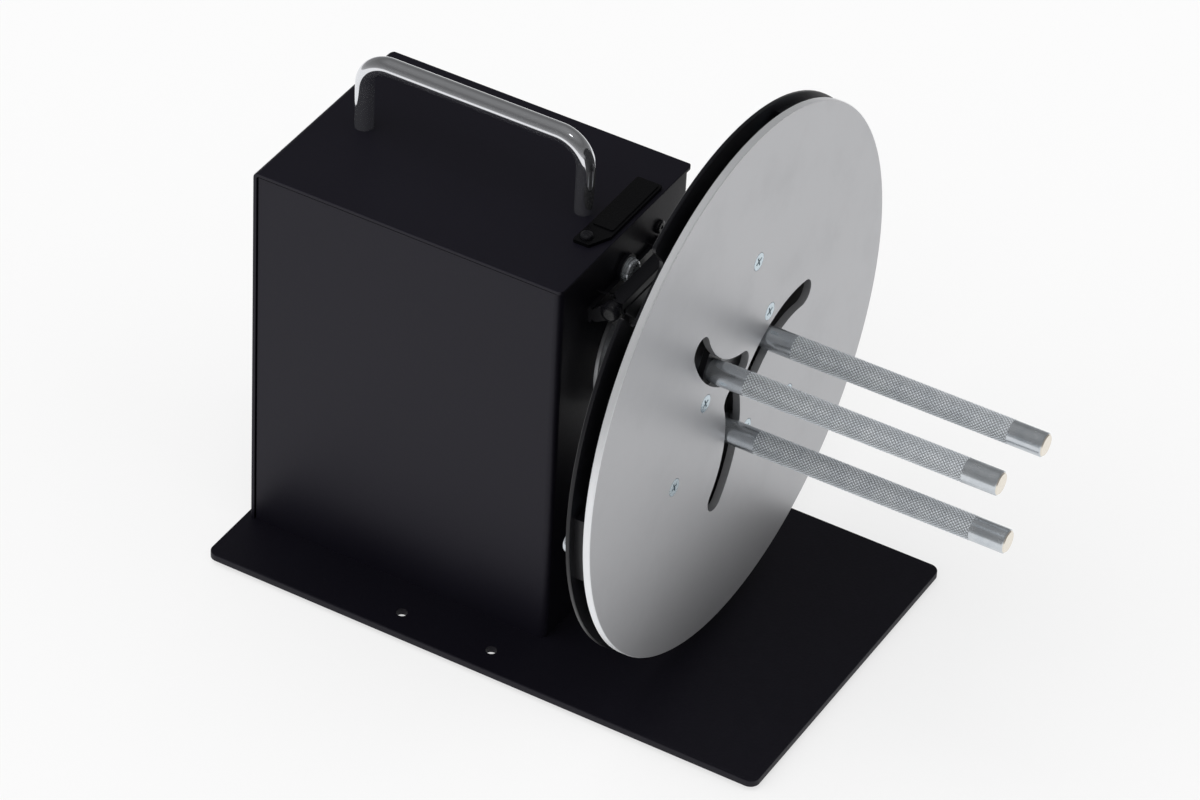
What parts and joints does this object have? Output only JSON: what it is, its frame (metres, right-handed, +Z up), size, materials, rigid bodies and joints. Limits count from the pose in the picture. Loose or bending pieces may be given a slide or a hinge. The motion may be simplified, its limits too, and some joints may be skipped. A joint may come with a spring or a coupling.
{
  "type": "manual label rewinder",
  "caption": "Hand cranked bench rewinder for label rolls: sheet housing on a base plate, twin-disc flange and expanding core pins, rubbing brake and carry handle.",
  "frame": {"origin": "on the bench under the middle of the whole machine from crank knob to pin ends, level with the underside of the rubber pads and with the spindle axis in the plane y = 0", "axes": "+X along the spindle towards the free ends of the core pins, +Y away from a person facing the long side, +Z up"},
  "size_m": [0.3398, 0.2208, 0.2325],
  "materials": {
    "powder_black": "fine satin powder coat",
    "anodised_silver": "brushed satin",
    "black_plate": "satin black",
    "zinc": "bright zinc plate",
    "polished": "polished chrome",
    "ground_steel": "fine ground",
    "black_screw": "black oxide",
    "bearing_steel": "polished",
    "iron": "painted casting",
    "alu_plain": "turned",
    "black_plastic": "moulded, lightly textured",
    "glide": "slippery plastic",
    "rubber": "matte",
    "badge": "blank black",
    "friction": "pressed friction material"
  },
  "bodies": {
    "base": {"base_plate": "powder_black", "rubber_pads": "rubber", "base_screws": "zinc", "base_nuts": "zinc", "housing_walls": "powder_black", "housing_cover": "powder_black", "cover_screws": "black_screw", "clinch_nuts": "zinc", "carry_handle": "polished", "handle_screws": "zinc", "handle_washers": "zinc", "badge_plate": "badge", "badge_screw": "black_screw", "front_bearing_unit": "iron", "rear_bearing_unit": "iron", "bearing_outer_rings": "bearing_steel", "bearing_bracket": "powder_black", "brake_bracket": "black_plate", "bearing_bolts": "zinc", "bearing_washers": "zinc", "bearing_nuts": "zinc", "brake_pivot_pin": "black_screw", "brake_pin_clip": "black_screw"},
    "spindle": {"spindle_shaft": "ground_steel", "shaft_collars": "ground_steel", "set_screws": "black_screw", "bearing_inner_rings": "bearing_steel", "crank_arm": "zinc", "crank_washer": "zinc", "crank_bolt": "zinc", "knob_bolt": "zinc", "disc_hub": "alu_plain", "brake_disc": "alu_plain", "brake_disc_screws": "zinc", "front_disc": "anodised_silver", "hub_standoffs": "alu_plain", "hub_screws": "zinc", "pivot_sleeves": "ground_steel", "pivot_spacers": "ground_steel", "pivot_screws": "zinc"},
    "ball_sets": {"bearing_balls": "bearing_steel"},
    "crank_knob": {"crank_knob": "black_plastic"},
    "rear_disc": {"rear_disc": "black_plate", "rim_blocks": "black_plastic", "glide_pads": "glide", "block_screws": "zinc"},
    "arm_1": {"swing_arm_1": "zinc", "core_pin_1": "zinc", "cam_follower_1": "ground_steel"},
    "arm_2": {"swing_arm_2": "zinc", "core_pin_2": "zinc", "cam_follower_2": "ground_steel"},
    "arm_3": {"swing_arm_3": "zinc", "core_pin_3": "zinc", "cam_follower_3": "ground_steel"},
    "brake": {"brake_lever": "black_plate", "brake_clamp_plate": "black_plate", "brake_clamp_screws": "black_screw", "brake_pad": "friction", "brake_springs": "black_screw"}
  },
  "joints": [
    {"name": "spindle_turn", "type": "hinge", "parent": "base", "child": "spindle", "pos_m": [-0.01208, 0, 0.1221], "axis": [1, 0, 0], "continuous": true},
    {"name": "balls_roll", "type": "hinge", "parent": "base", "child": "ball_sets", "pos_m": [-0.01208, 0, 0.1221], "axis": [1, 0, 0], "continuous": true},
    {"name": "knob_spin", "type": "hinge", "parent": "spindle", "child": "crank_knob", "pos_m": [-0.15207, 0.05351, 0.07392], "axis": [1, 0, 0], "continuous": true},
    {"name": "ring_set", "type": "hinge", "parent": "spindle", "child": "rear_disc", "pos_m": [0.04473, 0, 0.1221], "axis": [1, 0, 0], "range_deg": [-35.3, 22.5]},
    {"name": "arm_1_swing", "type": "hinge", "parent": "spindle", "child": "arm_1", "pos_m": [0.04843, 0.0398, 0.09021], "axis": [1, 0, 0], "range_deg": [-35.3, 22.5]},
    {"name": "arm_2_swing", "type": "hinge", "parent": "spindle", "child": "arm_2", "pos_m": [0.04843, 0.00771, 0.17251], "axis": [1, 0, 0], "range_deg": [-35.3, 22.5]},
    {"name": "arm_3_swing", "type": "hinge", "parent": "spindle", "child": "arm_3", "pos_m": [0.04843, -0.04752, 0.10357], "axis": [1, 0, 0], "range_deg": [-35.3, 22.5]},
    {"name": "brake_tilt", "type": "hinge", "parent": "base", "child": "brake", "pos_m": [0.01222, 0, 0.1539], "axis": [0, 1, 0], "range_deg": [-4, 0], "stiffness_Nm_per_rad": 0.05, "springref_deg": 11.46}
  ],
  "couplings": [
    {"joint": "arm_1_swing", "follows": "ring_set", "ratio": 1},
    {"joint": "arm_2_swing", "follows": "ring_set", "ratio": 1},
    {"joint": "arm_3_swing", "follows": "ring_set", "ratio": 1},
    {"joint": "balls_roll", "follows": "spindle_turn", "ratio": 0.4023}
  ]
}
